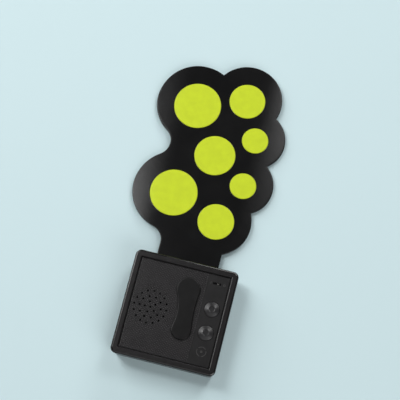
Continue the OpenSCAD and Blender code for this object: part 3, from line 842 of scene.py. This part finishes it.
PAD_COUNT = 7
MARGIN = 11.5
OUTLINE_SHIFT = (-0.4, 1.3)
WAIST_R = 10.5
NECK_FILLET_R = 10
PAD_GAP = 0.25
PAD_RINGS = 8
SHEET_TOP = mm_box("pad_overlay")[1].z
OVERLAY_LOW = mm_box("pad_overlay")[0].z
BACKING_LOW, BACKING_TOP = (corner.z for corner in mm_box("pad_backing"))
NECK_LEFT, NECK_RIGHT = mm_box("sheet_tail")[0].x, mm_box("sheet_tail")[1].x
NECK_START = mm_box("flex_neck")[0].y
NECK_END = mm_box("flex_neck")[1].y
FILM_EDGE = 0.85
FILM_INSET = 1.0
SPACER_HOLE = 0.6
SHEET_STEP, FILM_STEP = 2.2, 3


def pad_circle(number):
    """(x, y, radius) of a drum pad."""
    low, high = mm_box(f"drum_pad_{number}")
    return *centre_of(f"drum_pad_{number}"), (high.x - low.x) / 2


PADS = [pad_circle(i + 1) for i in range(PAD_COUNT)]


def sheet_outline(end):
    """The outline round the drum pads: out along the right side, over the top and back down the left."""
    lobes = [(x + OUTLINE_SHIFT[0], y + OUTLINE_SHIFT[1], r + MARGIN, 1) for x, y, r in PADS]
    far_big, far_mid, far_small, centre, near_big, near_small, near_mid = lobes
    waist = (*tangent_centre(far_big, near_big, WAIST_R, -1), WAIST_R, -1)
    fillet_x = NECK_LEFT - NECK_FILLET_R
    reach = near_big[2] + NECK_FILLET_R
    fillet_y = near_big[1] - math.sqrt(reach**2 - (near_big[0] - fillet_x) ** 2)
    fillet = (fillet_x, fillet_y, NECK_FILLET_R, -1)
    arcs = [near_mid, near_small, far_small, far_mid, far_big, waist, near_big, fillet]
    return Outline(arcs, centre[:2], 1.3, neck=(NECK_LEFT, NECK_RIGHT, end))


SHEET_MIDDLE = centre_of("pad_overlay")[0]
SHEET_HALF = mm_box("pad_overlay")[1].x - SHEET_MIDDLE
ARCH_START = 25.0
ARCH_DROP = 1.6
ARCH_POWER = 1.7


def arch(piece):
    """Lets the sheet's left and right sides bend down a little."""
    for vertex in piece.data.vertices:
        across = (abs(vertex.co.x / MM - SHEET_MIDDLE) - ARCH_START) / (SHEET_HALF - ARCH_START)
        vertex.co.z -= ARCH_DROP * MM * max(0, across) ** ARCH_POWER


def make_film(name, node, holes):
    """One of the clear films sealed inside the sheet, with its holes."""
    low, high = (corner.z for corner in mm_box(node))
    edge = sheet_outline(NECK_END).loop(FILM_INSET)
    solid = Solid()
    for loop in [edge, *holes]:
        solid.walls([at(loop, high), at(loop, low)])
    solid.cap(edge, holes, high, step=FILM_STEP)
    solid.cap(edge, holes, low, step=FILM_STEP)
    film = new_piece(name, solid.verts, solid.faces, "film")
    arch(film)
    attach(film, "sheet")
    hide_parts(node)


def make_skin():
    """The black top layer, with a round edge, an opening round each drum pad and the neck."""
    solid = Solid()
    outline = sheet_outline(NECK_START)
    under = BACKING_TOP + 0.02
    profile = [(0.95, SHEET_TOP)] + quarter_round(0.45, SHEET_TOP)
    profile += [(0, under + 0.12), (0.12, under), (FILM_EDGE, under), (FILM_EDGE, OVERLAY_LOW)]
    loops = [at(outline.loop(inset), z) for inset, z in profile]
    solid.walls(loops)
    openings = []
    rings = ((0.6, SHEET_TOP), (0.1, SHEET_TOP), (0, SHEET_TOP - 0.1), (0, OVERLAY_LOW))
    for x, y, r in PADS:
        count = max(48, round(2 * math.pi * r / 1.2))
        openings.append([(circle((x, y), r + PAD_GAP + extra, count), z) for extra, z in rings])
    for opening in openings:
        solid.walls([at(loop, z) for loop, z in opening])
    solid.cap(loops[0], [opening[0][0] for opening in openings], SHEET_TOP, step=SHEET_STEP)
    solid.cap(loops[-1], [opening[-1][0] for opening in openings], OVERLAY_LOW, step=SHEET_STEP)
    return new_piece("drum_sheet_skin", solid.verts, solid.faces, "vinyl")


def make_lining():
    """The soft backing, as long as the skin."""
    solid = Solid()
    outline = sheet_outline(NECK_START)
    profile = [(0.12, BACKING_TOP), (0, BACKING_TOP - 0.12), (0, BACKING_LOW + 0.35)]
    profile += [(0.1, BACKING_LOW + 0.1), (0.35, BACKING_LOW)]
    loops = [at(outline.loop(inset), z) for inset, z in profile]
    solid.walls(loops)
    solid.cap(loops[0], [], BACKING_TOP, step=SHEET_STEP)
    solid.cap(loops[-1], [], BACKING_LOW, step=SHEET_STEP)
    return new_piece("drum_sheet_lining", solid.verts, solid.faces, "backing")


def make_sheet():
    """The drum sheet's layers, with their left and right sides bent down a little."""
    for piece, slot, nodes in (
        (make_skin(), "sheet_black", ("pad_overlay", "flex_neck")),
        (make_lining(), "backing_black", ("pad_backing",)),
    ):
        arch(piece)
        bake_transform(piece)
        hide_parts(*nodes)
    spacer_holes = [circle((x, y), r + SPACER_HOLE, max(48, round(5 * r))) for x, y, r in PADS]
    make_film("sheet_spacer_film", "pad_spacer", spacer_holes)
    make_film("sheet_circuit_film", "pad_circuit", [])


def make_drum_pads():
    """The lime discs, in rings so that they can follow the sheet's bend."""
    for number, (x, y, r) in enumerate(PADS, 1):
        low, high = (corner.z for corner in mm_box(f"drum_pad_{number}"))
        rings = [r * i / PAD_RINGS for i in range(PAD_RINGS)]
        profile = [(ring, high) for ring in rings]
        profile += [(r - 0.25, high), (r - 0.09, high - 0.03), (r, high - 0.12), (r, low)]
        profile += [(ring, low) for ring in reversed(rings)]
        disc = lathe(f"touch_pad_disc_{number}", profile, (x, y), "lime", 120)
        arch(disc)
        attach(disc, f"touch_pad_{number}")
        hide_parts(f"drum_pad_{number}")


# ---------------------------------------------------------------- carried-over CAD nodes

CAD_MATERIALS = {
    "rear": ["rear_case", "battery_door"],
    "inner": ["strap_eyelet", "tact_switches", "neck_clamp_bar"],
    "steel": [
        "case_screws", "battery_door_screw", "board_screws", "clamp_screws", "slide_switch_body",
        "speaker_frame", "button_cells",
    ],
    "brass": ["door_contact", "cell_contacts"],
    "board": ["circuit_board"],
    "epoxy": ["sound_chip", "board_parts"],
    "nylon": ["tail_connector"],
    "ferrite": ["speaker_magnet"],
    "cone": ["speaker_cone"],
    "foam": ["speaker_gasket"],
    "wire": ["speaker_wires", "battery_wire"],
    "vinyl": ["sheet_tail"],
    "film": ["membrane_tail"],
    "carbon": [f"pad_contact_{i + 1}" for i in range(PAD_COUNT)],
}
SOFT_EDGES = {"rear_case": 0.35, "battery_door": 0.2, "strap_eyelet": 0.25}


def dress_cad():
    """Gives each CAD node that stays its material, and rounds the edges of those that show."""
    for material, nodes in CAD_MATERIALS.items():
        for name in nodes:
            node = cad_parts[name]
            node.data.materials.clear()
            node.data.materials.append(MATERIALS[material])
    for name, width in SOFT_EDGES.items():
        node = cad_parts[name]
        weld = node.modifiers.new("weld", "WELD")
        weld.merge_threshold = 0.002 * MM
        bevel = node.modifiers.new("soft_edges", "BEVEL")
        bevel.width = width * MM
        bevel.segments = 3
        bevel.angle_limit = math.radians(30)
        bevel.limit_method = "ANGLE"
        bevel.harden_normals = True


# ---------------------------------------------------------------- stage


FLOOR_REACH = 3.0
FLOOR_COLOUR = (0.62, 0.78, 0.81, 1)
WORLD_COLOUR = (0.93, 0.96, 1, 1)
WORLD_STRENGTH = 0.05


def make_stage():
    """A plain pale floor and a dim even sky."""
    floor_mesh = bpy.data.meshes.new("floor")
    corners = [(x * FLOOR_REACH, y * FLOOR_REACH, 0) for x, y in ((-1, -1), (1, -1), (1, 1), (-1, 1))]
    floor_mesh.from_pydata(corners, [], [(0, 1, 2, 3)])
    floor = bpy.data.objects.new("floor", floor_mesh)
    bpy.context.scene.collection.objects.link(floor)
    paint = bpy.data.materials.new("pale_floor")
    paint.use_nodes = True
    shader = paint.node_tree.nodes["Principled BSDF"]
    shader.inputs["Base Color"].default_value = FLOOR_COLOUR
    shader.inputs["Roughness"].default_value = 0.85
    floor_mesh.materials.append(paint)
    world = bpy.data.worlds.new("studio")
    world.use_nodes = True
    background = world.node_tree.nodes["Background"]
    background.inputs["Color"].default_value = WORLD_COLOUR
    background.inputs["Strength"].default_value = WORLD_STRENGTH
    bpy.context.scene.world = world


def softbox(name, place, size, power):
    """Area light of that size and place, in metres, aimed at the middle of the object."""
    data = bpy.data.lights.new(name, "AREA")
    data.shape = "RECTANGLE"
    data.size, data.size_y = size
    data.energy = power
    lamp = bpy.data.objects.new(name, data)
    bpy.context.scene.collection.objects.link(lamp)
    lamp.location = place
    lamp.rotation_euler = (CAMERA_TARGET - Vector(place)).to_track_quat("-Z", "Y").to_euler()


def make_lights():
    """Soft studio lights; the strips and the back light make the highlights on the buttons and the rim."""
    softbox("key", (-1.05, 0.7, 0.8), (1.0, 1.0), 9)
    softbox("fill", (1.0, -0.7, 0.9), (1.0, 1.0), 7)
    softbox("front", (0.1, -0.7, 1.05), (1.6, 1.0), 3)
    softbox("back", (0.35, 1.4, 0.75), (0.9, 0.3), 5.5)
    softbox("left_strip", (-0.57, 0.28, 1.1), (0.3, 0.4), 4.2)
    softbox("right_strip", (0.38, 0.76, 1.1), (0.3, 0.5), 3.2)


# The default transform can't show the lime of the drum pads.
bpy.context.scene.view_settings.view_transform = "Standard"
make_cover()
make_posts()
make_plate()
make_panel_grain()
make_marks()
make_ridge()
make_buttons()
make_knob()
make_sheet()
make_drum_pads()
dress_cad()
make_stage()
make_lights()
